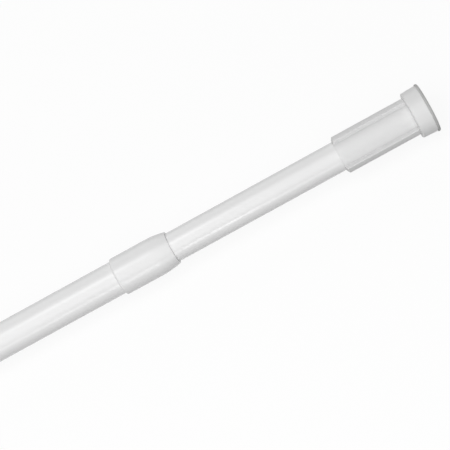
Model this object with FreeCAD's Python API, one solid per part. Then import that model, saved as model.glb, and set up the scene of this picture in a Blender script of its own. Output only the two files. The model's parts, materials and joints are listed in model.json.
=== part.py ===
import FreeCAD, Part
import math
import os

# Spring tension rod: two telescoping tubes, a twist lock and a spring inside, a rubber foot at each end.
# The rod lies along X. The wall face of the outer foot is at x = 0, the other foot points to +X.

V = FreeCAD.Vector
AXIS_POINT = V(0, 0, 0)
AXIS = V(1, 0, 0)

# Driving sizes, in mm
ROD_LENGTH = 600.0
OUTER_TUBE_OD = 25.0
OUTER_TUBE_WALL = 0.8
INNER_TUBE_WALL = 0.7
TUBE_EXPOSED = 133.5
TUBE_OVERLAP = 186.5

COLLAR_LENGTH = 44.0
COLLAR_STRAIGHT = 28.5
COLLAR_THROAT = 12.0
COLLAR_WALL = 1.6
COLLAR_NOSE_WALL = 1.45
EDGE_BEVEL = 0.4

SLEEVE_WALL = 1.0
SLEEVE_MOUTH_WALL = 0.4
SLEEVE_MOUTH_TAPER = 2.5
RIB_COUNT = 3
RIB_TURN = 90.0
RIB_WIDTH = 6.6
RIB_HEIGHT = 2.75
RIB_END_BEVEL = 0.6
RIB_END_SLOPE = 1.3
RIB_EDGE_ROUND = 0.6
INNER_RIB_LENGTH = 57.2
OUTER_RIB_LENGTH = 75.0

END_LENGTH = 13.4
CAP_WALL = 2.6
CAP_FLOOR = 3.0
INNER_CAP_STEP = 5.25
INNER_CAP_TAPER = 0.45
INNER_CAP_BEVEL = 1.6
INNER_LIP_STEP = 0.65
OUTER_CAP_STEP = 2.95
OUTER_CAP_FLARE = 1.5
OUTER_LIP_STEP = 0.4
FLARE_HOLLOW = 0.4
LIP_DEPTH = 1.9
SPIGOT_LENGTH = 5.0
GROOVE_RADIUS = 11.0
GROOVE_WIDTH = 1.6
GROOVE_DEPTH = 0.8

PLUNGER_OD = 8.0
STUD_STEP = 1.0
SPRING_TRAVEL = 20.0
SPRING_LENGTH = 52.0
SPRING_WIRE = 1.8
SPRING_ACTIVE_TURNS = 5
SPRING_STEPS = 12
SPRING_SIDES = 6
THRUST_WASHER = 1.0
PILOT_LENGTH = 5.0
HEAD_LENGTH = 10.0
NUT_WALL = 2.0
NUT_HEIGHT = 5.0
BUMP_WASHER = 2.0
BUMP_WASHER_WIDTH = 4.0
BUSH_FLANGE = 4.0
BUSH_LENGTH = 20.0
STOP_LENGTH = 12.0
CRIMP_WIDTH = 3.0
CRIMP_DEPTH = 0.6

CAM_FLANGE = 3.0
CAM_JOURNAL_LENGTH = 16.0
CAM_OFFSET = 0.8
CAM_HUB_LENGTH = 8.0
CAM_HUB_WALL = 4.0
CAM_PIN_OD = 3.0
RING_WALL = 2.6
RING_SLOT = 2.6

# Clearances, in mm
PRESS_GAP = 0.04
SLIDE_GAP = 0.3
SHAFT_GAP = 0.08
TUBE_GAP = 0.7
SPRING_GAP = 1.3
PILOT_GAP = 0.5
CAM_GAP = 0.6
FLANGE_GAP = 0.5
RING_END_GAP = 0.4
PLUNGER_END_GAP = 3.0

# Radii that follow from the sizes
outer_r = OUTER_TUBE_OD / 2
outer_bore_r = outer_r - OUTER_TUBE_WALL
inner_r = outer_bore_r - TUBE_GAP
inner_bore_r = inner_r - INNER_TUBE_WALL
plug_r = inner_bore_r - PRESS_GAP
plunger_r = PLUNGER_OD / 2
stud_r = plunger_r - STUD_STEP
spring_r = inner_bore_r - SPRING_GAP
pilot_r = spring_r - SPRING_WIRE - PILOT_GAP
ring_r = outer_bore_r - SLIDE_GAP
ring_bore_r = ring_r - RING_WALL
journal_r = ring_bore_r - CAM_GAP
hub_r = plunger_r + CAM_HUB_WALL

# Stations along X that follow from the sizes; tube_stop is how far a tube ends from its wall
tube_stop = LIP_DEPTH + SPIGOT_LENGTH + CAP_FLOOR
outer_tube_start = tube_stop
inner_tube_end = ROD_LENGTH - tube_stop
collar_end = ROD_LENGTH - END_LENGTH - INNER_RIB_LENGTH - TUBE_EXPOSED
collar_start = collar_end - COLLAR_LENGTH
outer_tube_end = collar_end - COLLAR_THROAT
inner_tube_start = outer_tube_end - TUBE_OVERLAP

bush_end = inner_tube_start + BUSH_LENGTH
head_start = bush_end + BUMP_WASHER
head_end = head_start + HEAD_LENGTH
pilot_end = head_end + PILOT_LENGTH
stud_end = pilot_end + NUT_HEIGHT
spring_start = head_end + THRUST_WASHER
spring_end = spring_start + SPRING_LENGTH
stop_start = spring_end + THRUST_WASHER
stop_end = stop_start + STOP_LENGTH
bush_crimp = (inner_tube_start + bush_end) / 2
stop_crimp = (stop_start + stop_end) / 2

cam_end = inner_tube_start - BUSH_FLANGE - SPRING_TRAVEL - PLUNGER_END_GAP
hub_start = cam_end - CAM_HUB_LENGTH
journal_end = hub_start - CAM_FLANGE
journal_start = journal_end - CAM_JOURNAL_LENGTH
cam_start = journal_start - CAM_FLANGE
journal_center = V(journal_start, 0, CAM_OFFSET)
pin_x = (hub_start + cam_end) / 2


def lathe(outline):
    """Turn an outline of (x, r) steps about the rod axis; four numbers make an arc through the first two."""
    edges = []
    start = V(outline[0][0], 0, outline[0][1])
    for step in outline[1:] + outline[:1]:
        end = V(step[-2], 0, step[-1])
        if len(step) == 4:
            edges.append(Part.Arc(start, V(step[0], 0, step[1]), end).toShape())
        else:
            edges.append(Part.makeLine(start, end))
        start = end
    return Part.Face(Part.Wire(edges)).revolve(AXIS_POINT, AXIS, 360)


def arc_step(start, end, lift):
    """Arc from start to end, its middle lifted off the chord towards the outside of the outline."""
    dx = end[0] - start[0]
    dr = end[1] - start[1]
    chord = math.hypot(dx, dr)
    x_middle = (start[0] + end[0]) / 2 - lift * dr / chord
    r_middle = (start[1] + end[1]) / 2 + lift * dx / chord
    return (x_middle, r_middle, end[0], end[1])


def bar(radius, x_start, x_end):
    """Solid round bar on the rod axis."""
    return Part.makeCylinder(radius, x_end - x_start, V(x_start, 0, 0), AXIS)


def pipe(radius, bore_radius, x_start, x_end):
    """Round bar with a bore through it."""
    return bar(radius, x_start, x_end).cut(bar(bore_radius, x_start, x_end))


def crimp_steps(x_middle, radius):
    """Outline of one rolled crimp in a surface of this radius, from left to right."""
    half = CRIMP_WIDTH / 2
    floor = radius - CRIMP_DEPTH
    return [(x_middle - half, radius), (x_middle - half + CRIMP_DEPTH, floor),
            (x_middle + half - CRIMP_DEPTH, floor), (x_middle + half, radius)]


def turned_round(shape):
    """A piece made for the wall at x = 0, turned about for the wall at the far end of the rod."""
    flipped = shape.mirror(AXIS_POINT, AXIS)
    flipped.translate(V(ROD_LENGTH, 0, 0))
    return flipped


def save(name, shape):
    """Write one finished piece."""
    shape.removeSplitter().exportStep("parts/" + name + ".step")


def collar():
    """Moulded collar over the mouth of the outer tube; its nose narrows towards the inner tube."""
    bore_r = outer_r + PRESS_GAP
    throat_r = inner_r + SHAFT_GAP
    collar_r = bore_r + COLLAR_WALL
    nose_r = throat_r + COLLAR_NOSE_WALL
    bend = (collar_start + COLLAR_STRAIGHT, collar_r)
    nose = (collar_end - EDGE_BEVEL, nose_r)
    return lathe([(collar_start, bore_r),
                  (collar_start, collar_r - EDGE_BEVEL),
                  (collar_start + EDGE_BEVEL, collar_r),
                  bend,
                  arc_step(bend, nose, (collar_r - nose_r) / 4),
                  (collar_end, nose_r - EDGE_BEVEL),
                  (collar_end, throat_r),
                  (outer_tube_end, throat_r),
                  (outer_tube_end, bore_r)])


def along_crest(edge, rib_r):
    """True for a straight edge that runs along the top of a rib."""
    a, b = [v.Point for v in edge.Vertexes]
    straight = abs(a.y - b.y) < 0.01 and abs(a.z - b.z) < 0.01
    return straight and abs(math.hypot(a.y, a.z) - rib_r) < 0.01


def end_holder(tube_r, rib_length, cap_bore_r, flank):
    """Holder moulded in one piece: a cap for the foot, and a ribbed sleeve on the tube, towards +X."""
    bore_r = tube_r + PRESS_GAP
    sleeve_r = bore_r + SLEEVE_WALL
    rib_r = sleeve_r + RIB_HEIGHT
    sleeve_end = END_LENGTH + rib_length
    cup_floor = tube_stop - CAP_FLOOR
    holder = lathe([(LIP_DEPTH, cap_bore_r)] + flank
                   + [(END_LENGTH, sleeve_r), (sleeve_end - SLEEVE_MOUTH_TAPER, sleeve_r),
                      (sleeve_end, bore_r + SLEEVE_MOUTH_WALL), (sleeve_end, bore_r), (tube_stop, bore_r),
                      (tube_stop, 0), (cup_floor, 0), (cup_floor, cap_bore_r)])
    crest = lathe([(END_LENGTH, bore_r), (END_LENGTH, rib_r - RIB_END_BEVEL),
                   (END_LENGTH + RIB_END_BEVEL, rib_r), (sleeve_end - RIB_END_SLOPE, rib_r),
                   (sleeve_end, sleeve_r), (sleeve_end, bore_r)])
    for turn in range(RIB_COUNT):
        slab = Part.makeBox(sleeve_end, RIB_WIDTH, rib_r, V(0, -RIB_WIDTH / 2, 0))
        slab.rotate(AXIS_POINT, AXIS, RIB_TURN + 360 * turn / RIB_COUNT)
        rib = crest.common(slab)
        long_edges = [edge for edge in rib.Edges if along_crest(edge, rib_r)]
        holder = holder.fuse(rib.makeFillet(RIB_EDGE_ROUND, long_edges))
    return holder


def foot(lip_r, cap_bore_r):
    """Rubber foot with its wall face at x = 0: a lip that covers the cap's rim and a spigot in the cap."""
    spigot_r = cap_bore_r - PRESS_GAP
    spigot_end = LIP_DEPTH + SPIGOT_LENGTH
    groove_low = GROOVE_RADIUS - GROOVE_WIDTH / 2
    groove_high = GROOVE_RADIUS + GROOVE_WIDTH / 2
    return lathe([(0, 0), (0, groove_low), (GROOVE_DEPTH, groove_low), (GROOVE_DEPTH, groove_high), (0, groove_high),
                  (0, lip_r - EDGE_BEVEL), (EDGE_BEVEL, lip_r), (LIP_DEPTH, lip_r),
                  (LIP_DEPTH, spigot_r), (spigot_end, spigot_r), (spigot_end, 0)])


def stepped_end():
    """Holder and foot of the inner tube: the cap steps up from the sleeve and tapers a little."""
    back_r = inner_r + SLEEVE_WALL + INNER_CAP_STEP
    rim_r = back_r + INNER_CAP_TAPER
    cap_bore_r = back_r - CAP_WALL
    flank = [(LIP_DEPTH, rim_r),
             (END_LENGTH - INNER_CAP_BEVEL, back_r),
             (END_LENGTH, back_r - INNER_CAP_BEVEL)]
    return end_holder(inner_r, INNER_RIB_LENGTH, cap_bore_r, flank), foot(rim_r + INNER_LIP_STEP, cap_bore_r)


def flared_end():
    """Holder and foot of the outer tube: the cap flares from just above the ribs in one hollow curve."""
    back_r = outer_r + SLEEVE_WALL + OUTER_CAP_STEP
    rim_r = back_r + OUTER_CAP_FLARE
    cap_bore_r = back_r - CAP_WALL
    flank = [(LIP_DEPTH, rim_r),
             arc_step((LIP_DEPTH, rim_r), (END_LENGTH, back_r), -FLARE_HOLLOW)]
    return end_holder(outer_r, OUTER_RIB_LENGTH, cap_bore_r, flank), foot(rim_r + OUTER_LIP_STEP, cap_bore_r)


def coil_spring():
    """Compression spring with closed ends, ground flat; wire sections follow the turns by a formula."""
    coil_r = spring_r - SPRING_WIRE / 2
    turns = SPRING_ACTIVE_TURNS + 2
    active_pitch = (SPRING_LENGTH - 2 * SPRING_WIRE) / SPRING_ACTIVE_TURNS
    sections = []
    for i in range(turns * SPRING_STEPS + 1):
        turn = i / SPRING_STEPS
        active = min(max(turn - 1, 0), SPRING_ACTIVE_TURNS)
        x = spring_start + (turn - active) * SPRING_WIRE + active * active_pitch
        pitch = active_pitch if 0 < active < SPRING_ACTIVE_TURNS else SPRING_WIRE
        angle = 2 * math.pi * turn
        outward = V(0, math.cos(angle), math.sin(angle))
        along = V(pitch, -2 * math.pi * coil_r * outward.z, 2 * math.pi * coil_r * outward.y).normalize()
        sections.append(wire_section(V(x, 0, 0) + outward * coil_r, outward, along.cross(outward)))
    coil = Part.makeLoft(sections, True, True)
    return coil.common(bar(inner_bore_r, spring_start, spring_end))


def wire_section(center, outward, across):
    """Many-sided outline of the spring wire, square to its run."""
    corners = []
    for i in range(SPRING_SIDES + 1):
        angle = 2 * math.pi * i / SPRING_SIDES
        arm = outward * math.cos(angle) + across * math.sin(angle)
        corners.append(center + arm * (SPRING_WIRE / 2))
    return Part.makePolygon(corners)


def lock_cam():
    """Cam on the plunger rod: two round flanges, an off-centre journal between them and a hub."""
    flange_r = outer_bore_r - FLANGE_GAP
    cam = bar(flange_r, cam_start, journal_start)
    cam = cam.fuse(Part.makeCylinder(journal_r, CAM_JOURNAL_LENGTH, journal_center, AXIS))
    cam = cam.fuse(bar(flange_r, journal_end, hub_start))
    cam = cam.fuse(bar(hub_r, hub_start, cam_end))
    cam = cam.cut(bar(plunger_r + PRESS_GAP, journal_start, cam_end))
    return cam.cut(cross_pin(PRESS_GAP, 2 * hub_r))


def lock_ring():
    """Split ring that rides on the off-centre journal and grips the outer tube."""
    ring_start = journal_start + RING_END_GAP
    ring_end = journal_end - RING_END_GAP
    ring = bar(ring_r, ring_start, ring_end)
    ring = ring.cut(Part.makeCylinder(ring_bore_r, CAM_JOURNAL_LENGTH, journal_center, AXIS))
    slot = Part.makeBox(CAM_JOURNAL_LENGTH, RING_SLOT, ring_r, V(journal_start, -RING_SLOT / 2, 0))
    return ring.cut(slot)


def cross_pin(gap, length):
    """Pin across the cam hub and the plunger rod, or its hole when a gap is given."""
    return Part.makeCylinder(CAM_PIN_OD / 2 + gap, length, V(pin_x, 0, -length / 2), V(0, 0, 1))


def hex_nut():
    """Nut on the stud of the plunger rod, its thread left plain."""
    corner_r = 2 * (stud_r + NUT_WALL) / math.sqrt(3)
    corners = []
    for i in range(7):
        angle = math.radians(60 * i)
        corners.append(V(pilot_end, corner_r * math.cos(angle), corner_r * math.sin(angle)))
    prism = Part.Face(Part.makePolygon(corners)).extrude(V(NUT_HEIGHT, 0, 0))
    return prism.cut(bar(stud_r + PRESS_GAP, pilot_end, stud_end))


def crimped_tube():
    """Inner tube, rolled in over the guide bush and over the spring stop."""
    outside = crimp_steps(bush_crimp, inner_r) + crimp_steps(stop_crimp, inner_r)
    inside = crimp_steps(bush_crimp, inner_bore_r) + crimp_steps(stop_crimp, inner_bore_r)
    return lathe([(inner_tube_start, inner_r)] + outside + [(inner_tube_end, inner_r),
                 (inner_tube_end, inner_bore_r)] + inside[::-1] + [(inner_tube_start, inner_bore_r)])


def guide_bush():
    """Bush in the mouth of the inner tube; its flange runs in the outer tube, the plunger rod in its bore."""
    flange_start = inner_tube_start - BUSH_FLANGE
    flange_r = outer_bore_r - SLIDE_GAP
    bore_r = plunger_r + SHAFT_GAP
    return lathe([(flange_start, bore_r), (flange_start, flange_r), (inner_tube_start, flange_r),
                  (inner_tube_start, plug_r)] + crimp_steps(bush_crimp, plug_r)
                 + [(bush_end, plug_r), (bush_end, bore_r)])


def spring_stop():
    """Plug crimped in the inner tube; the spring sits on its pilot."""
    pilot_start = spring_end - PILOT_LENGTH
    return lathe([(pilot_start, 0), (pilot_start, pilot_r), (stop_start, pilot_r), (stop_start, plug_r)]
                 + crimp_steps(stop_crimp, plug_r) + [(stop_end, plug_r), (stop_end, 0)])


def plunger_head():
    """Piston on the end of the plunger rod with a pilot for the spring."""
    head_r = inner_bore_r - SLIDE_GAP
    bore_r = stud_r + PRESS_GAP
    return lathe([(head_start, bore_r), (head_start, head_r), (head_end, head_r), (head_end, pilot_r),
                  (pilot_end, pilot_r), (pilot_end, bore_r)])


os.makedirs("parts", exist_ok=True)

# Outer half
outer_holder, outer_foot = flared_end()
save("outer_tube", pipe(outer_r, outer_bore_r, outer_tube_start, outer_tube_end))
save("junction_collar", collar())
save("outer_end_holder", outer_holder)
save("outer_foot", outer_foot)

# Twist lock and spring plunger
plunger = bar(plunger_r, journal_start, head_start).fuse(bar(stud_r, head_start, stud_end))
save("lock_ring", lock_ring())
save("lock_cam", lock_cam())
save("cam_pin", cross_pin(0, 2 * hub_r))
save("plunger_rod", plunger.cut(cross_pin(PRESS_GAP, 2 * hub_r)))
save("bump_washer", pipe(plunger_r + BUMP_WASHER_WIDTH, plunger_r + PRESS_GAP, bush_end, head_start))
save("plunger_head", plunger_head())
save("head_nut", hex_nut())
save("head_thrust_washer", pipe(spring_r, pilot_r + PRESS_GAP, head_end, spring_start))
save("tension_spring", coil_spring())

# Inner half
inner_holder, inner_foot = stepped_end()
save("inner_tube", crimped_tube())
save("guide_bush", guide_bush())
save("spring_stop", spring_stop())
save("stop_thrust_washer", pipe(spring_r, pilot_r + PRESS_GAP, spring_end, stop_start))
save("inner_end_holder", turned_round(inner_holder))
save("inner_foot", turned_round(inner_foot))
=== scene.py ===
# %% [markdown]
# # A spring tension rod
# The rod holds itself between two walls. Two painted steel tubes slide into each other, a twist lock inside
# them sets the length, and a spring behind the lock presses two rubber feet outwards.
# The construction model already has every piece at its true size and place, so it is loaded as a fixed frame.
# This lesson adds the looks: smooth meshes for what can be seen, a round wire for the spring, a finish for
# each material, a studio and a camera.

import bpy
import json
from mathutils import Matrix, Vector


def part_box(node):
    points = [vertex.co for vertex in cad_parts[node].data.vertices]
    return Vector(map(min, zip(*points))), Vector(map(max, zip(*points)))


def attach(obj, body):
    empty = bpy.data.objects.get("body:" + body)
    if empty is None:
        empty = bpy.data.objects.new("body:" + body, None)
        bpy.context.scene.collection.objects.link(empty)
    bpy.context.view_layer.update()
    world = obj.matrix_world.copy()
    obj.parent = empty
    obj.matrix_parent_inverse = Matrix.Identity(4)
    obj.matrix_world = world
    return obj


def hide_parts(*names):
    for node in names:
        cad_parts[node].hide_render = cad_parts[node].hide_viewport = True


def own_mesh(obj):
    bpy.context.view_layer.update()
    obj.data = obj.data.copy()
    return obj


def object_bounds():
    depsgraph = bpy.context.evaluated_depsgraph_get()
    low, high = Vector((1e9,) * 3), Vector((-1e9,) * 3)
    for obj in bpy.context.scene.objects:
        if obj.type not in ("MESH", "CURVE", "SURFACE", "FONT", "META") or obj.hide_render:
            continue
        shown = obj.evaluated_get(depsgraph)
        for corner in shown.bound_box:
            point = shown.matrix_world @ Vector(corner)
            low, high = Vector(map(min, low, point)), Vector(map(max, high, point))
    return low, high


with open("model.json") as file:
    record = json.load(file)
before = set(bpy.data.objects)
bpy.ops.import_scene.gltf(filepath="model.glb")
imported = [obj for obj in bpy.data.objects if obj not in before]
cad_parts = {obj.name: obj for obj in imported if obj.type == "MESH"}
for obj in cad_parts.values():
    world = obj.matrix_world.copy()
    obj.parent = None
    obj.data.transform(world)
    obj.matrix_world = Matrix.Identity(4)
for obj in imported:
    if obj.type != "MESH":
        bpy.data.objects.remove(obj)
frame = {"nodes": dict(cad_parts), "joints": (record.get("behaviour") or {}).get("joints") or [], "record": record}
cad_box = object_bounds()

# %% [markdown]
# ## The camera
# The photograph looks down on the rod, and the rod crosses the picture on a slanting line. A camera can be
# aimed by eye, but one that is worked out from a few facts comes out the same each time: the pixel on which the
# rod's nearest point falls, the slope of the rod's middle line, and how far and how high the camera stands.
# Three square axes are written once as the camera sees them and once in the world, and the turn from the
# first to the second is the camera's own.

# %% Camera
import math

import bpy
from mathutils import Matrix, Vector

PICTURE_SIDE = 450
FOCAL_PIXELS = 1450
NEAREST_PIXEL = (329.5, 161.2)
NEAREST_X = 0.5219
ROD_SLOPE = math.radians(28.75)
CAMERA_HEIGHT_ANGLE = math.radians(60)
CAMERA_DISTANCE = 1.0163


def square_axes(ahead, beside):
    """Three square axes as columns: ahead, then what is left of beside, then the one square to both."""
    ahead = ahead.normalized()
    beside = (beside - beside.dot(ahead) * ahead).normalized()
    return Matrix((ahead, beside, ahead.cross(beside))).transposed()


middle = PICTURE_SIDE / 2
seen_ahead = Vector((NEAREST_PIXEL[0] - middle, middle - NEAREST_PIXEL[1], -FOCAL_PIXELS))
seen_along = Vector((math.cos(ROD_SLOPE), math.sin(ROD_SLOPE), 0))
towards_camera = Vector((0, -math.cos(CAMERA_HEIGHT_ANGLE), math.sin(CAMERA_HEIGHT_ANGLE)))
camera_turn = square_axes(-towards_camera, Vector((1, 0, 0))) @ square_axes(seen_ahead, seen_along).transposed()
camera_place = Vector((NEAREST_X, 0, 0)) + CAMERA_DISTANCE * towards_camera

camera = bpy.data.objects.new("camera", bpy.data.cameras.new("camera"))
camera.data.lens = FOCAL_PIXELS / PICTURE_SIDE * camera.data.sensor_width
camera.matrix_world = Matrix.Translation(camera_place) @ camera_turn.to_4x4()
bpy.context.scene.collection.objects.link(camera)
bpy.context.scene.camera = camera
print("camera at", [round(c, 3) for c in camera_place], "lens", round(camera.data.lens, 1))

# %% [markdown]
# ## A bench for node trees
# Finishes and repeated shapes are both node trees. Adding each node by hand takes many lines, so one class
# holds a tree and adds any node to it: first the settings, then the values or links of the sockets.
# A second small class wraps an output socket, so that sums of sockets are written as plain Python.

# %% Bench and Wire
class Wire:
    """One output socket; Python's operators on it add Math nodes to its tree."""

    def __init__(self, bench, socket):
        self.bench, self.socket = bench, socket

    def also(self, output):
        """Another output of the same node."""
        return Wire(self.bench, self.socket.node.outputs[output])

    def maths(self, operation, *values):
        sockets = dict(zip(("Value", "Value_001", "Value_002"), values))
        return self.bench.node("ShaderNodeMath", {"operation": operation}, sockets)

    def __add__(self, other):
        return self.maths("ADD", self, other)

    def __radd__(self, other):
        return self.maths("ADD", other, self)

    def __sub__(self, other):
        return self.maths("SUBTRACT", self, other)

    def __rsub__(self, other):
        return self.maths("SUBTRACT", other, self)

    def __mul__(self, other):
        return self.maths("MULTIPLY", self, other)

    def __rmul__(self, other):
        return self.maths("MULTIPLY", other, self)

    def __truediv__(self, other):
        return self.maths("DIVIDE", self, other)

    def __rtruediv__(self, other):
        return self.maths("DIVIDE", other, self)

    def at_least(self, other):
        return self.maths("MAXIMUM", self, other)

    def at_most(self, other):
        return self.maths("MINIMUM", self, other)

    def above(self, other):
        return self.maths("GREATER_THAN", self, other)

    def ramp(self, low, high):
        """0 up to low, 1 from high on, and an even slope between them."""
        return ((self - low) / (high - low)).at_least(0).at_most(1)


class Bench:
    """A node tree at work; node() is the one way to add a node to it."""

    def __init__(self, tree):
        self.tree = tree
        tree.nodes.clear()

    def node(self, kind, settings=None, sockets=None, output=0):
        made = self.tree.nodes.new(kind)
        for name, setting in (settings or {}).items():
            setattr(made, name, setting)
        places = {socket.identifier: socket for socket in made.inputs}
        for name, given in (sockets or {}).items():
            if isinstance(given, Wire):
                self.tree.links.new(given.socket, places[name])
            else:
                places[name].default_value = given
        outputs = {socket.identifier: socket for socket in made.outputs}
        chosen = outputs.get(output) or (made.outputs[0] if made.outputs else None)
        return Wire(self, chosen)


print("bench ready")

# %% [markdown]
# ## Words for the finishes
# Most finishes are a plain colour that wavers a little, a shine that wavers a little more, and a grain that
# is too fine to model. All three come from noise of a known size, read in Object coordinates, which stay with
# the piece in every pose. `speckle` gives such noise, `between` blends two colours by it, and `coated`
# closes the material.

# %% Finish words
MM = 0.001


def new_finish(name):
    """A material's bench and the Object coordinates that its patterns read."""
    material = bpy.data.materials.new(name)
    material.use_nodes = True
    bench = Bench(material.node_tree)
    return material, bench, bench.node("ShaderNodeTexCoord", output="Object")


def speckle(place, size_mm, detail=2.0, stretch=(1, 1, 1)):
    """Noise about 0.5 with lumps of one size; a stretch below 1 draws the lumps out along that axis."""
    drawn = place.bench.node("ShaderNodeVectorMath", {"operation": "MULTIPLY"},
                             {"Vector": place, "Vector_001": stretch})
    return place.bench.node("ShaderNodeTexNoise", {"noise_dimensions": "3D"},
                            {"Vector": drawn, "Scale": 1 / (size_mm * MM), "Detail": detail, "Roughness": 0.55})


def between(share, first, second):
    """A colour that goes from first, a colour or a wire, to second as share goes from 0 to 1."""
    start = first if isinstance(first, Wire) else (*first, 1)
    return share.bench.node("ShaderNodeMix", {"data_type": "RGBA"},
                            {"Factor_Float": share, "A_Color": start, "B_Color": (*second, 1)}, "Result_Color")


def grain(height, depth_mm, strength):
    """A normal that follows a height whose full swing is this deep."""
    return height.bench.node("ShaderNodeBump", {},
                             {"Height": height, "Distance": depth_mm * MM, "Strength": strength})


def coated(bench, sockets):
    """Close a material with its main shader."""
    shader = bench.node("ShaderNodeBsdfPrincipled", {}, sockets)
    bench.node("ShaderNodeOutputMaterial", {}, {"Surface": shader})
    print(bench.tree.name, "has", len(bench.tree.nodes), "nodes")


print("patterns are measured in units of", MM, "m")

# %% [markdown]
# ## Powder coat
# The tubes are thin rolled steel with a baked white powder coat. The coat is bright and evenly glossy, but it
# never lies quite flat: it has a soft ripple of about a millimetre, and faint lines along the tube where it
# slides and is handled. A clear coat over a rougher base would give two highlights, and the real tube has one
# broad one, so the shader keeps a single gloss and lets it waver.

# %% Powder coat
COAT_WHITE = (0.80, 0.80, 0.80)
COAT_DULL = (0.78, 0.78, 0.78)


def powder_coat():
    material, bench, place = new_finish("powder_coat")
    ripple = speckle(place, 1.1, detail=1.0)
    rubbed = speckle(place, 0.9, detail=3.0, stretch=(0.012, 1, 1))
    handled = speckle(place, 38, detail=2.0)
    coated(bench, {
        "Base Color": between((handled * 0.7 + rubbed * 0.3).ramp(0.35, 0.75), COAT_WHITE, COAT_DULL),
        "Roughness": 0.16 + 0.08 * rubbed + 0.05 * handled,
        "Normal": grain(ripple * 0.8 + rubbed * 0.2, 0.02, 0.30),
        "IOR": 1.5,
    })
    return material


tube_finish = powder_coat()

# %% [markdown]
# ## Moulded plastic
# The collar and the two end holders are moulded in white plastic. A polished mould makes the collar nearly as
# bright as the tubes. The holders come from a mould with a spark-worn face, which leaves a fine even grain and a
# duller white. The flow of the plastic leaves slow changes of tone and shine in both, so one function makes
# both finishes. Inside corners get painted shade: a darker grey in the base colour stands in for the shadow
# that falls there. A mesh that has such corners says where they are in a number on its points, called corner,
# and on a mesh without that number it counts as 0.

# %% Moulded plastic
# Painted shade: the grey that the base colour darkens towards in inside corners.
CORNER_PAINTED_SHADE = (0.60, 0.60, 0.60)
COLLAR_WHITE, COLLAR_SHADE = (0.79, 0.79, 0.79), (0.77, 0.77, 0.77)
HOLDER_WHITE, HOLDER_SHADE = (0.745, 0.745, 0.745), (0.725, 0.725, 0.725)


def moulded_plastic(name, white, shade, roughness, grain_mm):
    material, bench, place = new_finish(name)
    spark = speckle(place, 0.35, detail=2.0)
    flow = speckle(place, 16, detail=2.0, stretch=(0.35, 1, 1))
    cloud = speckle(place, 5, detail=3.0)
    # Painted shade: where the number called corner is high, the base colour darkens as a corner's shadow would.
    corner = bench.node("ShaderNodeAttribute", {"attribute_name": "corner"}, output="Fac")
    unshaded_white = between((flow * 0.6 + cloud * 0.4).ramp(0.35, 0.7), white, shade)
    coated(bench, {
        "Base Color": between(corner * (0.8 + 0.4 * cloud), unshaded_white, CORNER_PAINTED_SHADE),
        "Roughness": roughness + 0.10 * (flow - 0.5) + 0.05 * (spark - 0.5),
        "Normal": grain(spark, grain_mm, 0.35),
        "IOR": 1.49,
    })
    return material


collar_finish = moulded_plastic("polished_plastic", COLLAR_WHITE, COLLAR_SHADE, roughness=0.25, grain_mm=0.008)
holder_finish = moulded_plastic("grained_plastic", HOLDER_WHITE, HOLDER_SHADE, roughness=0.42, grain_mm=0.018)

# %% [markdown]
# ## Foot rubber
# Each foot is a soft grey rubber that grips the wall. Rubber scatters light widely and shows a pale bloom where
# it has not been rubbed, so its colour wavers more than its shine does.

# %% Foot rubber
RUBBER_GREY = (0.44, 0.44, 0.435)
RUBBER_BLOOM = (0.54, 0.54, 0.535)


def foot_rubber():
    material, bench, place = new_finish("foot_rubber")
    crumb = speckle(place, 0.5, detail=3.0)
    bloom = speckle(place, 6, detail=4.0)
    coated(bench, {
        "Base Color": between((bloom * 0.75 + crumb * 0.25).ramp(0.36, 0.66), RUBBER_GREY, RUBBER_BLOOM),
        "Roughness": 0.66 + 0.14 * bloom,
        "Normal": grain(crumb, 0.05, 0.45),
        "IOR": 1.5,
    })
    return material


rubber_finish = foot_rubber()

# %% [markdown]
# ## Finishes inside the rod
# The lock's plastic is natural acetal, waxy and a little cream. The spring, rod, nut, pin and washers are
# zinc-plated steel with turning marks round them, which noise drawn out across the rod's axis gives. The bump
# washer is black rubber. They are out of sight at rest, but the rod can be taken apart and each piece looked at.

# %% Acetal, plated steel and black rubber
ACETAL_CREAM, ACETAL_SHADE = (0.64, 0.63, 0.585), (0.59, 0.575, 0.52)
ZINC_BRIGHT, ZINC_DULL = (0.64, 0.645, 0.66), (0.56, 0.56, 0.55)
BUMP_BLACK, BUMP_DUST = (0.035, 0.035, 0.036), (0.085, 0.083, 0.08)


def natural_acetal():
    material, bench, place = new_finish("natural_acetal")
    cloud = speckle(place, 4, detail=3.0)
    spark = speckle(place, 0.4, detail=2.0)
    coated(bench, {
        "Base Color": between(cloud.ramp(0.3, 0.7), ACETAL_CREAM, ACETAL_SHADE),
        "Roughness": 0.34 + 0.12 * cloud,
        "Normal": grain(spark, 0.02, 0.3),
        "IOR": 1.48,
    })
    return material


def plated_steel():
    material, bench, place = new_finish("plated_steel")
    bloom = speckle(place, 3, detail=4.0)
    marks = speckle(place, 0.25, detail=2.0, stretch=(1, 0.05, 0.05))
    coated(bench, {
        "Base Color": between(bloom.ramp(0.3, 0.72), ZINC_BRIGHT, ZINC_DULL),
        "Roughness": 0.24 + 0.16 * marks + 0.08 * bloom,
        "Metallic": 1.0,
        "Normal": grain(marks, 0.01, 0.3),
    })
    return material


def black_rubber():
    material, bench, place = new_finish("black_rubber")
    crumb = speckle(place, 0.4, detail=3.0)
    dust = speckle(place, 3, detail=4.0)
    coated(bench, {
        "Base Color": between(dust.ramp(0.45, 0.75), BUMP_BLACK, BUMP_DUST),
        "Roughness": 0.62 + 0.2 * dust,
        "Normal": grain(crumb, 0.05, 0.4),
    })
    return material


acetal_finish, steel_finish, bump_finish = natural_acetal(), plated_steel(), black_rubber()

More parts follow.
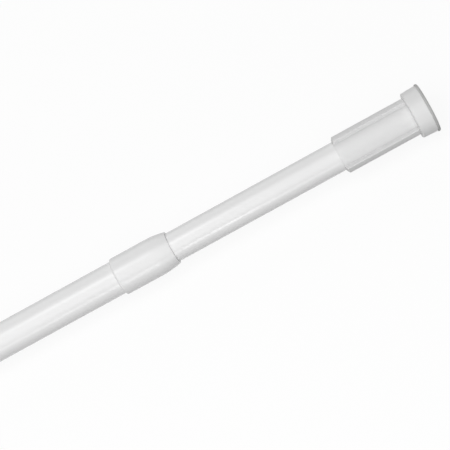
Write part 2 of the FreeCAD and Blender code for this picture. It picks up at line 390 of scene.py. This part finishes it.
# %% [markdown]
# ## Turning a piece
# Everything on the rod is round, so a piece is an outline of x and radius that is turned about the rod's axis.
# A Screw modifier would do it, but the ribs need more points at some angles than at others, so the rings are
# laid down point by point. No moulded or rolled edge is sharp: `softened` turns each corner of an outline into
# a small arc, with one extra point just outside each end of the arc that keeps the flat beside it flat.

# %% Outlines
import bmesh

ARC_STEPS = 5
GUARD_SHARE = 0.25
TURN_STEPS = 144
EVEN_TURN = [math.tau * i / TURN_STEPS for i in range(TURN_STEPS)]


def softened(corners):
    """Closed outline of (x, r) points from (x, r, rounding) corners, all in millimetres."""
    outline = []
    for i, (x, r, rounding) in enumerate(corners):
        corner = Vector((x, r))
        if not rounding:
            outline.append(corner)
            continue
        back = (Vector(corners[i - 1][:2]) - corner).normalized()
        on = (Vector(corners[(i + 1) % len(corners)][:2]) - corner).normalized()
        half = back.angle(on) / 2
        reach = rounding / math.tan(half)
        center = corner + (back + on).normalized() * rounding / math.sin(half)
        first, last = corner + back * reach - center, corner + on * reach - center
        guard = GUARD_SHARE * rounding
        outline.append(corner + back * (reach + guard))
        for step in range(ARC_STEPS + 1):
            share = step / ARC_STEPS
            outline.append(center + rounding * first.slerp(last, share))
        outline.append(corner + on * (reach + guard))
    return outline


print("a corner becomes", len(softened([(0, 1, 0.2), (1, 1, 0), (1, 0, 0)])) - 2, "points")

# %% Turning
ON_AXIS = 1e-6


def turned(name, outline, angles=EVEN_TURN):
    """Mesh of a closed outline turned about the rod's axis; points on the axis become poles."""
    shape = bmesh.new()
    rings = []
    for x, r in outline:
        if r < ON_AXIS:
            rings.append([shape.verts.new((x * MM, 0, 0))] * len(angles))
        else:
            rings.append([shape.verts.new((x * MM, r * MM * math.cos(a), r * MM * math.sin(a))) for a in angles])
    for ring, after in zip(rings, rings[1:] + rings[:1]):
        for i in range(len(angles)):
            loop = list(dict.fromkeys((ring[i - 1], ring[i], after[i], after[i - 1])))
            if len(loop) > 2:
                shape.faces.new(loop).smooth = True
    bmesh.ops.recalc_face_normals(shape, faces=shape.faces)
    mesh = bpy.data.meshes.new(name)
    shape.to_mesh(mesh)
    shape.free()
    return mesh


def stand_in(name, node, mesh):
    """Put a finished mesh in the scene in a node's place, on the same body, and hide the node."""
    record = frame["record"]
    body = next(b for b, nodes in record["behaviour"]["bodies"].items() if node in nodes)
    made = bpy.data.objects.new(name, mesh)
    bpy.context.scene.collection.objects.link(made)
    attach(made, body)
    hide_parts(node)
    mesh.calc_loop_triangles()
    print(name, "rides on", body, "with", len(mesh.loop_triangles), "triangles")
    return made


def reach_of(node):
    """Where a node starts and ends along the rod, and its radius, in millimetres."""
    low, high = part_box(node)
    return low.x / MM, high.x / MM, high.z / MM


print("outer tube:", [round(v, 2) for v in reach_of("outer_tube")])

# %% [markdown]
# ## The two tubes
# The outer tube is a plain pipe with cut ends. The inner tube is the same, one size down, with two rolled
# grooves that hold the guide bush and the spring stop inside it. A roller presses such a groove in smoothly,
# so it is drawn as one wave of a cosine in both walls, and the pipe keeps its thickness.

# %% Tubes
OUTER_WALL = 0.8
INNER_WALL = 0.7
CUT_EDGE = 0.15
CRIMP_WIDTH = 3.0
CRIMP_DEPTH = 0.6
CRIMP_STEPS = 12

bush_middle = (reach_of("inner_tube")[0] + reach_of("guide_bush")[1]) / 2
stop_middle = (reach_of("stop_thrust_washer")[1] + reach_of("spring_stop")[1]) / 2


def crimped(radius):
    """Points of a wall of this radius across the rolled grooves, from left to right."""
    points = []
    for place in (bush_middle, stop_middle):
        for step in range(CRIMP_STEPS + 1):
            share = step / CRIMP_STEPS - 0.5
            depth = CRIMP_DEPTH * (1 + math.cos(math.tau * share)) / 2
            points.append(Vector((place + share * CRIMP_WIDTH, radius - depth)))
    return points


def tube(name, node, wall, grooves):
    start, end, radius = reach_of(node)
    bore = radius - wall
    ends = softened([(start, bore, CUT_EDGE), (start, radius, CUT_EDGE),
                     (end, radius, CUT_EDGE), (end, bore, CUT_EDGE)])
    half = len(ends) // 2
    if grooves:
        ends = ends[:half] + crimped(radius) + ends[half:] + crimped(bore)[::-1]
    mesh = turned(name, ends)
    mesh.materials.append(tube_finish)
    return stand_in(name, node, mesh)


tube("painted_outer_tube", "outer_tube", OUTER_WALL, grooves=False)
tube("painted_inner_tube", "inner_tube", INNER_WALL, grooves=True)

# %% [markdown]
# ## The junction collar
# The collar hides the step between the tubes. It is pressed on the mouth of the outer tube, runs straight for
# most of its length, and then draws in over a soft shoulder to the inner tube. The shoulder is a parabola, which
# leaves the straight part without a crease and gets steeper towards the nose.

# %% Collar
COLLAR_STRAIGHT = 28.5
COLLAR_BORE = 12.54
COLLAR_THROAT = 11.08
COLLAR_NOSE = 12.3
THROAT_LENGTH = 12.0
SHOULDER_STEPS = 14
COLLAR_BACK_EDGE = 1.4
COLLAR_NOSE_EDGE = 0.12
COLLAR_BORE_EDGE = 0.1
COLLAR_THROAT_EDGE = 0.05


def collar():
    start, end, radius = reach_of("junction_collar")
    bend = start + COLLAR_STRAIGHT
    shoulder = []
    for step in range(SHOULDER_STEPS):
        share = step / SHOULDER_STEPS
        shoulder.append((bend + share * (end - bend), radius - (radius - COLLAR_NOSE) * share ** 2, 0))
    mesh = turned("moulded_collar", softened([
        (start, COLLAR_BORE, COLLAR_BORE_EDGE), (start, radius, COLLAR_BACK_EDGE), *shoulder,
        (end, COLLAR_NOSE, COLLAR_NOSE_EDGE), (end, COLLAR_THROAT, COLLAR_THROAT_EDGE),
        (end - THROAT_LENGTH, COLLAR_THROAT, 0), (end - THROAT_LENGTH, COLLAR_BORE, 0)]))
    mesh.materials.append(collar_finish)
    return stand_in("moulded_collar", "junction_collar", mesh)


collar()

# %% [markdown]
# ## Trees that make shapes
# What repeats or follows a rule is made by Geometry Nodes. Each tree opens alike, with one geometry, its named
# sizes and a finish, and closes alike: copies become real, doubled points are welded, and the mesh gets smooth
# shading and its finish. Two functions take that up, so that each tree holds little more than its own rule.

# %% Trees
MERGE_DISTANCE = 1e-6


def new_tree(name, inputs):
    """An empty Geometry Nodes tree, its bench and its named inputs as wires."""
    tree = bpy.data.node_groups.new(name, "GeometryNodeTree")
    tree.interface.new_socket("Geometry", in_out="OUTPUT", socket_type="NodeSocketGeometry")
    tree.interface.new_socket("Geometry", in_out="INPUT", socket_type="NodeSocketGeometry")
    for label in inputs:
        tree.interface.new_socket(label, in_out="INPUT", socket_type="NodeSocketFloat")
    tree.interface.new_socket("Finish", in_out="INPUT", socket_type="NodeSocketMaterial")
    bench = Bench(tree)
    geometry = bench.node("NodeGroupInput")
    return bench, geometry, [geometry.also(label) for label in inputs]


def close_tree(bench, geometry, finish):
    """End a tree as a plain mesh of one finish, without doubled points, shaded smooth."""
    real = bench.node("GeometryNodeRealizeInstances", {}, {"Geometry": geometry})
    merged = bench.node("GeometryNodeMergeByDistance", {}, {"Geometry": real, "Distance": MERGE_DISTANCE})
    smooth = bench.node("GeometryNodeSetShadeSmooth", {}, {"Geometry": merged})
    dressed = bench.node("GeometryNodeSetMaterial", {}, {"Geometry": smooth, "Material": finish})
    bench.node("NodeGroupOutput", {}, {"Socket_0": dressed})
    print(bench.tree.name, "has", len(bench.tree.nodes), "nodes")
    return bench.tree


print("a tree welds points closer than", MERGE_DISTANCE, "m")

# %% [markdown]
# ## Ribs
# Each end holder has three ribs along its sleeve. They could be three bars joined to the sleeve, but joined
# bars leave a hard seam. A moulded rib grows out of the wall, so here Geometry Nodes lift it out of the turned
# sleeve: the tree knows each point's angle from the middle of the nearest rib and works out how far out the
# rib's outline lies at that angle. The outline is the top, an arc over the edge, and then the flat side wall.
# Between the ribs the sleeve is a little flatter than a round pipe: each panel is bent about an axis that lies
# off the rod's own by the length called Flatness. A number on each ring of the sleeve, called rib_top, says how
# far out the rib's top lies on that ring, so the ribs can slope at their ends. The tree also leaves the number
# that the plastic reads as corner, where it paints shade: 1 where wall and panel meet, fading to 0 up the wall
# and out on the panel.

# %% Tree that lifts the ribs
RIB_INPUTS = ["Count", "First angle", "Width", "Edge", "Root", "Flatness", "Corner reach"]
LEAST_SINE = 0.05


def rib_tree():
    bench, geometry, inputs = new_tree("lift_ribs", RIB_INPUTS)
    count, first_angle, width, edge, root, flatness, corner_reach = inputs
    place = bench.node("GeometryNodeInputPosition")
    x = bench.node("ShaderNodeSeparateXYZ", {}, {"Vector": place})
    y, z = x.also("Y"), x.also("Z")
    top = bench.node("GeometryNodeInputNamedAttribute", {"data_type": "FLOAT"}, {"Name": "rib_top"})

    base = x.maths("SQRT", y * y + z * z)
    step = math.tau / count
    turn = z.maths("ARCTAN2", z, y) - first_angle
    off = turn.maths("WRAP", turn, step * 0.5, step * -0.5)
    off = off.maths("ABSOLUTE", off)

    half = width * 0.5
    arm = (top - edge).at_least(half)
    lean = off.maths("ARCSINE", (half - edge) / arm)
    past_top = (off - lean).at_least(0)
    sink = arm * past_top.maths("SINE", past_top)
    arc = arm * past_top.maths("COSINE", past_top) + off.maths("SQRT", (edge * edge - sink * sink).at_least(0))
    wall = half / off.maths("SINE", off).at_least(LEAST_SINE)
    wall_angle = off.maths("ARCTAN2", half, arm * lean.maths("COSINE", lean))
    outline = arc + off.above(wall_angle) * (wall - arc)

    from_middle = step * 0.5 - off
    bend = base + flatness
    aside = flatness * from_middle.maths("SINE", from_middle)
    ahead = flatness * from_middle.maths("COSINE", from_middle)
    panel = bend.maths("SQRT", bend * bend - aside * aside) - ahead
    raised = outline.maths("SMOOTH_MAX", outline, panel, root) - base
    gain = 1 + top.above(0) * raised / base
    apart = outline - panel
    # Painted shade mask: 1 where wall and panel meet, fading to 0 over the corner reach.
    corner = top.above(0) * (1 - apart.maths("ABSOLUTE", apart) / corner_reach).at_least(0)

    lifted = bench.node("ShaderNodeCombineXYZ", {}, {"X": x, "Y": y * gain, "Z": z * gain})
    marked = bench.node("GeometryNodeStoreNamedAttribute", {"data_type": "FLOAT", "domain": "POINT"},
                        {"Geometry": geometry, "Name": "corner", "Value": corner})
    moved = bench.node("GeometryNodeSetPosition", {}, {"Geometry": marked, "Position": lifted})
    return close_tree(bench, moved, geometry.also("Finish"))


lift_ribs = rib_tree()

# %% [markdown]
# ## Running a tree
# A tree works as a modifier on an object. The inputs are set by the sockets' identifiers, the object is
# evaluated once, and the result is kept as a plain mesh, so nothing that still calculates is left in the scene.

# %% Run a tree
def grown(mesh, tree, finish, **sizes):
    """The plain mesh that a Geometry Nodes tree makes from this mesh."""
    carrier = bpy.data.objects.new(mesh.name, mesh)
    bpy.context.scene.collection.objects.link(carrier)
    modifier = carrier.modifiers.new(tree.name, "NODES")
    modifier.node_group = tree
    given = {label.replace("_", " ").capitalize(): size for label, size in sizes.items()}
    given["Finish"] = finish
    for item in tree.interface.items_tree:
        if item.in_out == "INPUT" and item.name in given:
            modifier[item.identifier] = given[item.name]
    bpy.context.view_layer.update()
    result = bpy.data.meshes.new_from_object(carrier.evaluated_get(bpy.context.evaluated_depsgraph_get()))
    carrier.modifiers.remove(modifier)
    bpy.data.objects.remove(carrier)
    return result


print("trees so far:", [tree.name for tree in bpy.data.node_groups])

# %% [markdown]
# ## The end holders
# A holder is one moulding: a cap that carries the foot, and the ribbed sleeve that grips the tube. Its outline
# is drawn from the wall inwards, for the end at x = 0, and turned about for the other end. The rings get more
# points at the edges of the ribs, and one number each for how far out the rib's top lies.

# %% Rings and angles of a ribbed sleeve
RIB_COUNT = 3
RIB_FIRST_ANGLE = math.pi
RIB_WIDTH = 6.6
RIB_HEIGHT = 2.75
RIB_EDGE = 0.6
RIB_ROOT = 0.15
PANEL_FLATNESS = 0.9
# How far from an inside corner the painted shade reaches.
CORNER_REACH = 4.0
RIB_END_SLOPE = 1.3
CAP_DIP = 0.35
CAP_DIP_LENGTH = 2.4
END_LENGTH = 13.4
SLEEVE_WALL = 1.0
MOUTH_WALL = 0.4
MOUTH_TAPER = 2.5
SLEEVE_EDGE = 0.12
ROOT_BEFORE, ROOT_AFTER = 0.02, 0.03
SIDE_POINTS = {"top": 4, "edge": 6, "wall": 4, "root": 6, "panel": 9}
RINGS_PAST_CAP = (1.5, 2.0, 2.8, 4.0)
RINGS_TO_MOUTH = (4.0, 2.7, 2.4, 1.9, 1.55, 1.3, 1.05, 0.75, 0.4, 0.12)


def spread(start, end, count):
    """Even steps from start up to, but without, end."""
    return [start + (end - start) * i / count for i in range(count)]


def rib_angles(sleeve_r):
    """Angles for one turn of a sleeve, close together where a rib's edges and roots lie."""
    half = RIB_WIDTH / 2
    arm = sleeve_r + RIB_HEIGHT - RIB_EDGE
    lean = math.asin((half - RIB_EDGE) / arm)
    wall_top = math.atan2(half, arm * math.cos(lean))
    wall_foot = math.asin(half / sleeve_r)
    panel_middle = math.pi / RIB_COUNT
    limits = [0, lean, wall_top, wall_foot - ROOT_BEFORE, wall_foot + ROOT_AFTER, panel_middle]
    side = []
    for start, end, count in zip(limits, limits[1:], SIDE_POINTS.values()):
        side += spread(start, end, count)
    sector = side + [panel_middle] + [2 * panel_middle - a for a in side[:0:-1]]
    return [RIB_FIRST_ANGLE + math.tau * k / RIB_COUNT + a for k in range(RIB_COUNT) for a in sector]


def rib_top(x, sleeve_end, rib_r):
    """How far out a rib's top lies: it dips a little at the cap and slopes down to the sleeve at the mouth."""
    at_cap = max(0, 1 - (x - END_LENGTH) / CAP_DIP_LENGTH)
    slope = RIB_HEIGHT * (1 - (sleeve_end - x) / RIB_END_SLOPE)
    return rib_r - CAP_DIP * at_cap ** 2 - (slope + math.hypot(slope, RIB_EDGE / 2)) / 2


def sleeve_rings(sleeve_end, bore):
    """Rings of the sleeve's outer wall, which thins out at the mouth, as (x, r)."""
    steps = [END_LENGTH + off for off in RINGS_PAST_CAP] + [sleeve_end - off for off in RINGS_TO_MOUTH]
    rings = []
    for x in steps:
        wall = MOUTH_WALL + (SLEEVE_WALL - MOUTH_WALL) * min((sleeve_end - x) / MOUTH_TAPER, 1)
        rings.append((x, bore + wall))
    return rings + [(sleeve_end, bore + MOUTH_WALL - SLEEVE_EDGE)]


print("each sleeve has", len(RINGS_PAST_CAP + RINGS_TO_MOUTH) + 1, "rings")

# %% [markdown]
# ## Two ends alike
# Holders and feet are drawn for the end at x = 0. `placed` turns such a drawing about for the far end, and
# `mark_rings` hands a number from each ring of the drawing to the points of the mesh, where a tree can read it.

# %% Placing and marking rings
ROD_LENGTH = 600.0


def placed(rings, turned_about):
    """Outline of (x, r, number) rings, turned about if it belongs to the far end."""
    return [(ROD_LENGTH - x if turned_about else x, r) for x, r, _ in rings]


def mark_rings(mesh, label, rings, angle_count):
    """Give every point of a turned mesh the number of its ring."""
    numbers = []
    for _, r, number in rings:
        numbers += [number] * (angle_count if r > ON_AXIS else 1)
    mesh.attributes.new(label, "FLOAT", "POINT").data.foreach_set("value", numbers)


print("the far end is at", ROD_LENGTH, "mm")

# %% End holders
LIP_DEPTH = 1.9
CUP_DEPTH = LIP_DEPTH + 5.0
TUBE_STOP = CUP_DEPTH + 3.0
CAP_WALL = 2.6
PRESS_GAP = 0.04
ROOT_ROUND = 0.5
MOUTH_BEVEL = 0.1
SEAT_EDGE = 0.1
FLANK_TAIL = 2.0


def end_holder(name, node, tube_r, sleeve_end, flank, cap_bore, turned_about):
    """One holder; flank is the outside of its cap, from the rim to the sleeve, as (x, r) points."""
    bore = tube_r + PRESS_GAP
    sleeve_r = bore + SLEEVE_WALL
    rib_r = sleeve_r + RIB_HEIGHT
    outside = flank + sleeve_rings(sleeve_end, bore)
    rings = [(x, r, rib_top(x, sleeve_end, rib_r) * MM if r < rib_r else 0) for x, r in outside]
    rings += [(sleeve_end, bore + MOUTH_BEVEL, 0), (sleeve_end - MOUTH_BEVEL, bore, 0), (TUBE_STOP, bore, 0),
              (TUBE_STOP, 0, 0), (CUP_DEPTH, 0, 0), (CUP_DEPTH, cap_bore, 0)]
    angles = rib_angles(sleeve_r)
    mesh = turned(name, placed(rings, turned_about), angles)
    mark_rings(mesh, "rib_top", rings, len(angles))
    mesh = grown(mesh, lift_ribs, holder_finish, count=RIB_COUNT, first_angle=RIB_FIRST_ANGLE,
                 width=RIB_WIDTH * MM, edge=RIB_EDGE * MM, root=RIB_ROOT * MM,
                 flatness=PANEL_FLATNESS * MM, corner_reach=CORNER_REACH * MM)
    return stand_in(name, node, mesh)


def open_flank(corners):
    """The outside of a cap: softened corners without the last two, which only close the outline."""
    return [tuple(point) for point in softened(corners)[:-2]]


INNER_RIM, INNER_RIM_EDGE = 17.7, 0.3
INNER_BACK, INNER_BACK_EDGE = 17.25, 1.1
inner_bore = INNER_BACK - CAP_WALL
inner_tube_r = reach_of("inner_tube")[2]
inner_start = reach_of("inner_end_holder")[0]
inner_sleeve = inner_tube_r + PRESS_GAP + SLEEVE_WALL
end_holder("moulded_inner_holder", "inner_end_holder", inner_tube_r, ROD_LENGTH - inner_start, open_flank([
    (LIP_DEPTH, inner_bore, SEAT_EDGE), (LIP_DEPTH, INNER_RIM, INNER_RIM_EDGE),
    (END_LENGTH, INNER_BACK, INNER_BACK_EDGE), (END_LENGTH, inner_sleeve, ROOT_ROUND),
    (END_LENGTH + FLANK_TAIL, inner_sleeve, 0), (END_LENGTH, 0, 0)]), inner_bore, turned_about=True)

# %% [markdown]
# ## The flared end
# The cap on the thick tube flares to its rim in one hollow curve from just above the ribs. The curve is an
# arc in the construction model, so the outline follows a parabola with the same sag, which differs from that
# arc by less than a hundredth of a millimetre.

# %% Flared holder
OUTER_RIM, OUTER_RIM_EDGE = 17.95, 0.25
OUTER_BACK, OUTER_BACK_EDGE = 16.45, 0.5
FLARE_SAG = 0.4
FLARE_STEPS = 10

outer_bore = OUTER_BACK - CAP_WALL
outer_tube_r = reach_of("outer_tube")[2]
outer_end = reach_of("outer_end_holder")[1]
outer_sleeve = outer_tube_r + PRESS_GAP + SLEEVE_WALL
flare = []
for i in range(1, FLARE_STEPS):
    along = i / FLARE_STEPS
    flare.append((LIP_DEPTH + along * (END_LENGTH - LIP_DEPTH),
                  OUTER_RIM + along * (OUTER_BACK - OUTER_RIM) - 4 * FLARE_SAG * along * (1 - along), 0))
end_holder("moulded_outer_holder", "outer_end_holder", outer_tube_r, outer_end, open_flank([
    (LIP_DEPTH, outer_bore, SEAT_EDGE), (LIP_DEPTH, OUTER_RIM, OUTER_RIM_EDGE), *flare,
    (END_LENGTH, OUTER_BACK, OUTER_BACK_EDGE), (END_LENGTH, outer_sleeve, ROOT_ROUND),
    (END_LENGTH + FLANK_TAIL, outer_sleeve, 0), (END_LENGTH, 0, 0)]), outer_bore, turned_about=False)

# %% [markdown]
# ## The rubber feet
# A foot is a rubber disc with a plug that sits in the cap. Its wall face has one deep groove and fine rings
# that let the rubber give and grip. The rings repeat by a rule, so a second tree presses them into the face:
# it moves each point of the face along the rod by a wave of its radius.

# %% Tree that presses the grip rings
def grip_tree():
    bench, geometry, inputs = new_tree("press_grip_rings", ["Pitch", "Depth"])
    pitch, depth = inputs
    place = bench.node("GeometryNodeInputPosition")
    x = bench.node("ShaderNodeSeparateXYZ", {}, {"Vector": place})
    y, z = x.also("Y"), x.also("Z")
    share = bench.node("GeometryNodeInputNamedAttribute", {"data_type": "FLOAT"}, {"Name": "grip"})
    radius = x.maths("SQRT", y * y + z * z)
    wave = math.tau * radius / pitch
    press = share * depth * (0.5 - 0.5 * wave.maths("COSINE", wave))
    offset = bench.node("ShaderNodeCombineXYZ", {}, {"X": press})
    moved = bench.node("GeometryNodeSetPosition", {}, {"Geometry": geometry, "Offset": offset})
    return close_tree(bench, moved, geometry.also("Finish"))


press_grip_rings = grip_tree()

# %% Feet
GRIP_PITCH = 1.5
GRIP_DEPTH = 0.18
GRIP_STEP = 0.25
GROOVE_RADIUS, GROOVE_WIDTH, GROOVE_DEPTH = 11.0, 1.6, 0.8
GROOVE_EDGE, GROOVE_ROOT = 0.15, 0.2
GROOVE_MARGIN = 0.6
LIP_EDGE, LIP_BACK_EDGE, LIP_MARGIN = 1.0, 0.3, 0.8
PLUG_ROOT, PLUG_EDGE = 0.1, 0.3


def grip_face(low, high, inward):
    """Rings across the wall face from one radius to another, pressed inward by the grip waves."""
    count = round((high - low) / GRIP_STEP)
    return [(0.0, low + (high - low) * i / count, inward) for i in range(1, count)]


def foot(name, node, cap_bore, turned_about):
    lip_r = reach_of(node)[2]
    plug_r = cap_bore - PRESS_GAP
    groove_low, groove_high = GROOVE_RADIUS - GROOVE_WIDTH / 2, GROOVE_RADIUS + GROOVE_WIDTH / 2
    face_low, face_high = groove_low - GROOVE_MARGIN, groove_high + GROOVE_MARGIN
    groove = softened([
        (0, face_low, 0), (0, groove_low, GROOVE_EDGE), (GROOVE_DEPTH, groove_low, GROOVE_ROOT),
        (GROOVE_DEPTH, groove_high, GROOVE_ROOT), (0, groove_high, GROOVE_EDGE), (0, face_high, 0)])[1:-1]
    lip = softened([
        (0, lip_r, LIP_EDGE), (LIP_DEPTH, lip_r, LIP_BACK_EDGE), (LIP_DEPTH, plug_r, PLUG_ROOT),
        (CUP_DEPTH, plug_r, PLUG_EDGE), (CUP_DEPTH, 0, 0), (0, 0, 0)])[:-1]
    inward = -1 if turned_about else 1
    rings = [(0.0, 0.0, 0)] + grip_face(0, face_low, inward) + [(x, r, 0) for x, r in groove]
    rings += grip_face(face_high, lip_r - LIP_EDGE - LIP_MARGIN, inward) + [(x, r, 0) for x, r in lip]
    mesh = turned(name, placed(rings, turned_about))
    mark_rings(mesh, "grip", rings, len(EVEN_TURN))
    mesh = grown(mesh, press_grip_rings, rubber_finish, pitch=GRIP_PITCH * MM, depth=GRIP_DEPTH * MM)
    return stand_in(name, node, mesh)


foot("rubber_inner_foot", "inner_foot", inner_bore, turned_about=True)
foot("rubber_outer_foot", "outer_foot", outer_bore, turned_about=False)

# %% [markdown]
# ## The spring
# The spring is round wire wound about the rod's axis, with one closed turn at each end. It follows a rule, so
# a tree bends a straight line of points into the coil and runs a round section along it. It moves with the
# plunger.

# %% Tree that winds the coil
CLOSED_TURNS = 2
TURN_POINTS = 28
WIRE_SIDES = 14


def coil_tree():
    bench, geometry, inputs = new_tree("wind_coil", ["Start", "End", "Radius", "Wire", "Active turns"])
    start, end, radius, wire, active_turns = inputs
    turns = active_turns + CLOSED_TURNS
    line = bench.node("GeometryNodeCurvePrimitiveLine", {}, {"End": (1, 0, 0)})
    points = bench.node("GeometryNodeResampleCurve", {}, {"Curve": line, "Count": turns * TURN_POINTS + 1})
    turn = bench.node("GeometryNodeSplineParameter") * turns
    active = (turn - 1).at_least(0).at_most(active_turns)
    pitch = (end - start - (CLOSED_TURNS + 1) * wire) / active_turns
    x = start + 0.5 * wire + (turn - active) * wire + active * pitch
    angle = math.tau * turn
    place = bench.node("ShaderNodeCombineXYZ", {}, {
        "X": x, "Y": radius * angle.maths("COSINE", angle), "Z": radius * angle.maths("SINE", angle)})
    bent = bench.node("GeometryNodeSetPosition", {}, {"Geometry": points, "Position": place})
    section = bench.node("GeometryNodeCurvePrimitiveCircle", {"mode": "RADIUS"},
                         {"Resolution": WIRE_SIDES, "Radius": 0.5 * wire})
    wound = bench.node("GeometryNodeCurveToMesh", {},
                       {"Curve": bent, "Profile Curve": section, "Fill Caps": True})
    return close_tree(bench, wound, geometry.also("Finish"))


wind_coil = coil_tree()

# %% Spring
SPRING_WIRE = 1.8
SPRING_ACTIVE_TURNS = 5
spring_start, spring_end, spring_r = reach_of("tension_spring")
travel = next(joint for joint in frame["joints"] if joint["name"] == "spring_travel")
shortened = spring_end - spring_start + travel["range_m"][0] / MM

coil = grown(bpy.data.meshes.new("wound_spring"), wind_coil, steel_finish, start=spring_start * MM,
             end=spring_end * MM, radius=(spring_r - SPRING_WIRE / 2) * MM, wire=SPRING_WIRE * MM,
             active_turns=SPRING_ACTIVE_TURNS)
spring = stand_in("wound_spring", "tension_spring", coil)
shortened / (spring_end - spring_start)
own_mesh(spring)
print("the spring keeps", round(shortened, 1), "of", round(spring_end - spring_start, 1), "mm")

# %% [markdown]
# ## The lock and the plunger
# The pieces inside the tubes already have the right shape in the construction model. They keep it, and each
# gets the finish of its material slot.

# %% Finishes on the hidden pieces
SLOT_FINISHES = {"lock_plastic": acetal_finish, "plated_steel": steel_finish, "bump_rubber": bump_finish}

for subpart in frame["record"]["subparts"]:
    if subpart["material_slot"] in SLOT_FINISHES and subpart["node"] != "tension_spring":
        hidden = frame["nodes"][subpart["node"]]
        hidden.data.materials.clear()
        hidden.data.materials.append(SLOT_FINISHES[subpart["material_slot"]])
        print(subpart["node"], "has", hidden.data.materials[0].name)

# %% [markdown]
# ## The floor
# The rod lies on its two feet on a pale floor under soft light. The floor is white where the camera sees it, or
# where a shiny piece mirrors it. As a source of light it is only a dim grey, so the underside of the rod turns
# softly darker. A tenth of what shows of it is lit paper, which keeps the rod's shadow. The rest is plain white
# that lights nothing, so it is not sampled as a lamp.

# %% Floor
FLOOR_SIDE = 8.0
FLOOR_GREY = 0.20
FLOOR_PALE = 0.94
FLOOR_CLOUD = 1.04
FLOOR_WHITE_SHARE = 0.90


def seen_straight(bench):
    """1 for the camera's rays and for rays on from a shiny or clear surface, 0 for rays that only bring light."""
    camera_ray = bench.node("ShaderNodeLightPath", output="Is Camera Ray")
    return camera_ray.at_least(camera_ray.also("Is Glossy Ray")).at_least(camera_ray.also("Is Transmission Ray"))


def floor():
    material, bench, place = new_finish("studio_paper")
    material.cycles.emission_sampling = "NONE"
    cloud = speckle(place, 300, detail=1.0)
    seen = seen_straight(bench)
    grey = between(cloud, (FLOOR_GREY,) * 3, (FLOOR_GREY * FLOOR_CLOUD,) * 3)
    pale = between(seen, grey, (FLOOR_PALE,) * 3)
    paper = bench.node("ShaderNodeBsdfDiffuse", {}, {"Color": pale})
    white = bench.node("ShaderNodeEmission", {}, {"Strength": 1.0})
    shown = bench.node("ShaderNodeMixShader", {}, {
        "Fac": FLOOR_WHITE_SHARE * seen, "Shader": paper, "Shader_001": white})
    bench.node("ShaderNodeOutputMaterial", {}, {"Surface": shown})
    mesh = bpy.data.meshes.new("floor")
    half, height = FLOOR_SIDE / 2, cad_box[0].z
    corners = [(-half, -half, height), (half, -half, height), (half, half, height), (-half, half, height)]
    mesh.from_pydata(corners, [], [(0, 1, 2, 3)])
    mesh.materials.append(material)
    made = bpy.data.objects.new("floor", mesh)
    bpy.context.scene.collection.objects.link(made)
    print("floor at", round(height / MM, 2), "mm")


floor()

# %% [markdown]
# ## The surround
# The surround is white to the eye in the same way, and lights the rod with only a tenth of that white. At full
# strength it would light every side alike, and the tubes would look flat.

# %% Surround
SURROUND_LIGHT = 0.1


def surround():
    world = bpy.data.worlds.new("studio")
    world.use_nodes = True
    bench = Bench(world.node_tree)
    strength = SURROUND_LIGHT + seen_straight(bench) * (1 - SURROUND_LIGHT)
    light = bench.node("ShaderNodeBackground", {}, {"Color": (1, 1, 1, 1), "Strength": strength})
    bench.node("ShaderNodeOutputWorld", {}, {"Surface": light})
    bpy.context.scene.world = world
    print("surround gives", SURROUND_LIGHT, "of the white that it shows")


surround()

# %% [markdown]
# ## The lamps
# Three softboxes along the rod, one wide above it, one low in front and one behind, draw the long highlights and
# keep its back from going dark. Two small ones add short bright spots. Point lamps would be simpler, but they
# would leave hard shadows and pinpoint glints on the glossy paint.

# %% Softboxes
def softbox(name, aim_x, rise, distance, width, length, power):
    """A flat lamp aimed at a point of the rod; rise is its angle round the rod from the front, up and over."""
    aim = Vector((aim_x, 0, 0))
    lamp = bpy.data.lights.new(name, "AREA")
    lamp.shape = "RECTANGLE"
    lamp.size, lamp.size_y = length, width
    lamp.energy = power
    made = bpy.data.objects.new(name, lamp)
    angle = math.radians(rise)
    place = aim + distance * Vector((0, -math.cos(angle), math.sin(angle)))
    made.matrix_world = Matrix.Translation(place) @ (aim - place).to_track_quat("-Z", "Y").to_matrix().to_4x4()
    made.visible_camera = False
    bpy.context.scene.collection.objects.link(made)
    print(name, "stands at", [round(c, 2) for c in place])


softbox("softbox_over", aim_x=0.2, rise=71, distance=1.3, width=1.8, length=2.0, power=19.2)
softbox("softbox_front", aim_x=0.2, rise=8, distance=1.3, width=0.26, length=1.8, power=4.7)
softbox("softbox_back", aim_x=0.3, rise=157, distance=1.3, width=0.8, length=1.8, power=4.6)
softbox("softbox_left", aim_x=0.19, rise=91, distance=0.8, width=0.16, length=0.25, power=0.5)
softbox("softbox_glint", aim_x=0.31, rise=15, distance=0.8, width=0.04, length=0.06, power=0.3)

# %% [markdown]
# ## Finish
# Colours are shown as they are, without a film curve.

# %% Colour view
import json

bpy.context.scene.view_settings.view_transform = "Standard"
